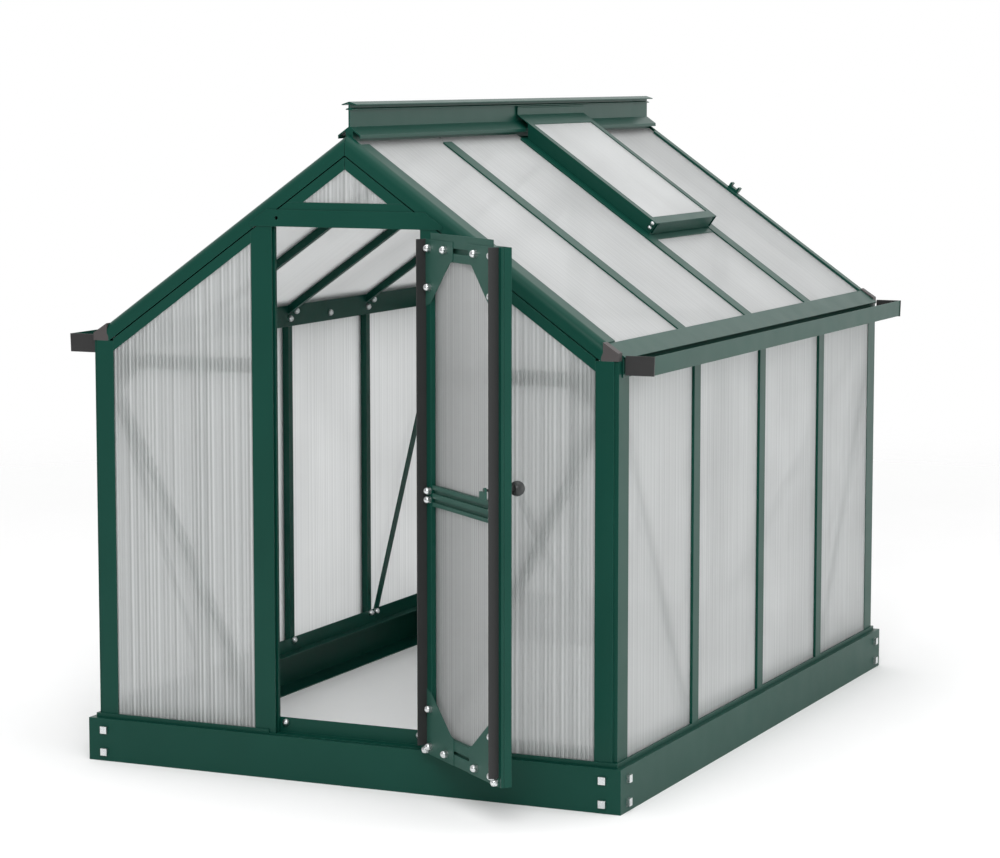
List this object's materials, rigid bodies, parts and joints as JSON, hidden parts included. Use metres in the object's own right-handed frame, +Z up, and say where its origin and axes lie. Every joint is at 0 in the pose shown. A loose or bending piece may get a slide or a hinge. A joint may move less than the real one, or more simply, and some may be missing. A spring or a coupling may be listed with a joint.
{
  "type": "greenhouse",
  "caption": "Walk-in hobby greenhouse with a green metal frame, frosted panels, a pitched roof with an opening vent, gutters, a steel base and a hinged door with a turn latch",
  "frame": {"origin": "centre of the four anchor holes in the base, on the ground", "axes": "+X to the right seen from the door, +Y from the door gable to the rear gable, +Z up"},
  "size_m": [2, 2.9519, 2.1041],
  "materials": {
    "green_paint": "satin",
    "bare_metal": "satin",
    "dark_plastic": "matte",
    "frosted_sheet": "frosted",
    "black_rubber": "matte"
  },
  "bodies": {
    "root": {"base_front_rail": "green_paint", "base_rear_rail": "green_paint", "base_side_rails": "green_paint", "base_corner_brackets": "bare_metal", "base_bolts": "bare_metal", "front_sill": "green_paint", "rear_sill": "green_paint", "side_sills": "green_paint", "front_right_corner_post": "green_paint", "front_left_corner_post": "green_paint", "rear_corner_posts": "green_paint", "right_door_post": "green_paint", "left_door_post": "green_paint", "rear_mid_posts": "green_paint", "eave_corner_caps": "dark_plastic", "front_rafters": "green_paint", "rear_rafters": "green_paint", "gable_rails": "green_paint", "door_header": "green_paint", "gable_cross_bar": "green_paint", "ridge_beam": "green_paint", "eave_rails": "green_paint", "gutters": "green_paint", "gutter_end_caps": "dark_plastic", "wall_stiles": "green_paint", "roof_bars": "green_paint", "front_panels": "frosted_sheet", "rear_panels": "frosted_sheet", "front_gable_pane": "frosted_sheet", "right_wall_panels": "frosted_sheet", "left_wall_panels": "frosted_sheet", "left_roof_panels": "frosted_sheet", "right_roof_panels": "frosted_sheet", "front_side_rails": "green_paint", "rear_tie_rail": "green_paint", "gable_gussets": "green_paint", "diagonal_braces": "green_paint", "rafter_clip": "dark_plastic", "frame_bolts": "bare_metal", "vent_cross_rail": "green_paint", "hinge_post_leaves": "green_paint", "hinge_pins": "bare_metal"},
    "door": {"door_stiles": "green_paint", "door_top_rail": "green_paint", "door_mid_rail": "green_paint", "door_bottom_rail": "green_paint", "door_panes": "frosted_sheet", "door_seals": "black_rubber", "door_gussets": "green_paint", "door_bolts": "bare_metal", "hinge_door_leaves": "green_paint"},
    "latch": {"latch_knob": "dark_plastic", "latch_lever": "dark_plastic"},
    "vent": {"vent_side_rails": "green_paint", "vent_bottom_rail": "green_paint", "vent_top_rail": "green_paint", "vent_pane": "frosted_sheet", "vent_stay_bracket": "bare_metal", "vent_bolts": "bare_metal"},
    "stay": {"vent_stay": "bare_metal"}
  },
  "joints": [
    {"name": "door_hinge", "type": "hinge", "parent": "root", "child": "door", "pos_m": [0.286, -1.276, 0.92], "axis": [0, 0, 1], "range_deg": [-140.2, 24.8]},
    {"name": "latch_turn", "type": "hinge", "parent": "door", "child": "latch", "pos_m": [0.6882, -1.6111, 1.006], "axis": [-0.6401, -0.7683, 0], "range_deg": [0, 180]},
    {"name": "vent_hinge", "type": "hinge", "parent": "root", "child": "vent", "pos_m": [0.0065, 0.305, 2.07506], "axis": [0, -1, 0], "range_deg": [0, 45]},
    {"name": "stay_swing", "type": "hinge", "parent": "vent", "child": "stay", "pos_m": [0.47133, 0.305, 1.68798], "axis": [0, -1, 0], "range_deg": [0, 90]}
  ]
}
